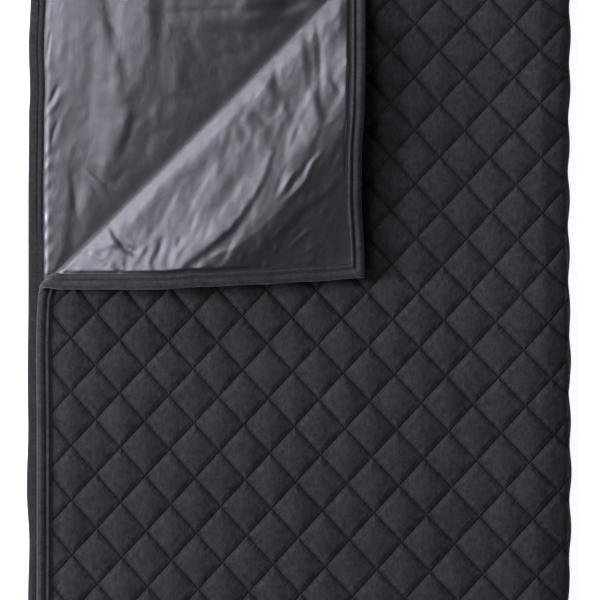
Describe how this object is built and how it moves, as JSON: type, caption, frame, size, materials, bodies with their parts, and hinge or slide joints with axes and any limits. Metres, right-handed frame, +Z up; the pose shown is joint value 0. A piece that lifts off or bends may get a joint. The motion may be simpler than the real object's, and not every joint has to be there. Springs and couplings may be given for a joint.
{
  "type": "quilted blanket",
  "caption": "Diamond-quilted blanket with a loose satin lining and an edge binding, folded in quarters with the top corner turned back.",
  "frame": {"origin": "on the surface that the blanket lies on, under the middle of its bounding box", "axes": "+Z up through the layers, +Y along the folded length towards the end with the turned-back corner, +X towards the side fold"},
  "size_m": [0.6568, 0.8602, 0.0578],
  "materials": {
    "charcoal_jersey": "matte melange jersey",
    "grey_satin": "satin",
    "charcoal_binding": "matte melange jersey"
  },
  "bodies": {
    "root": {"quilted_face": "charcoal_jersey", "lining": "grey_satin", "edge_binding": "charcoal_binding"}
  },
  "joints": []
}
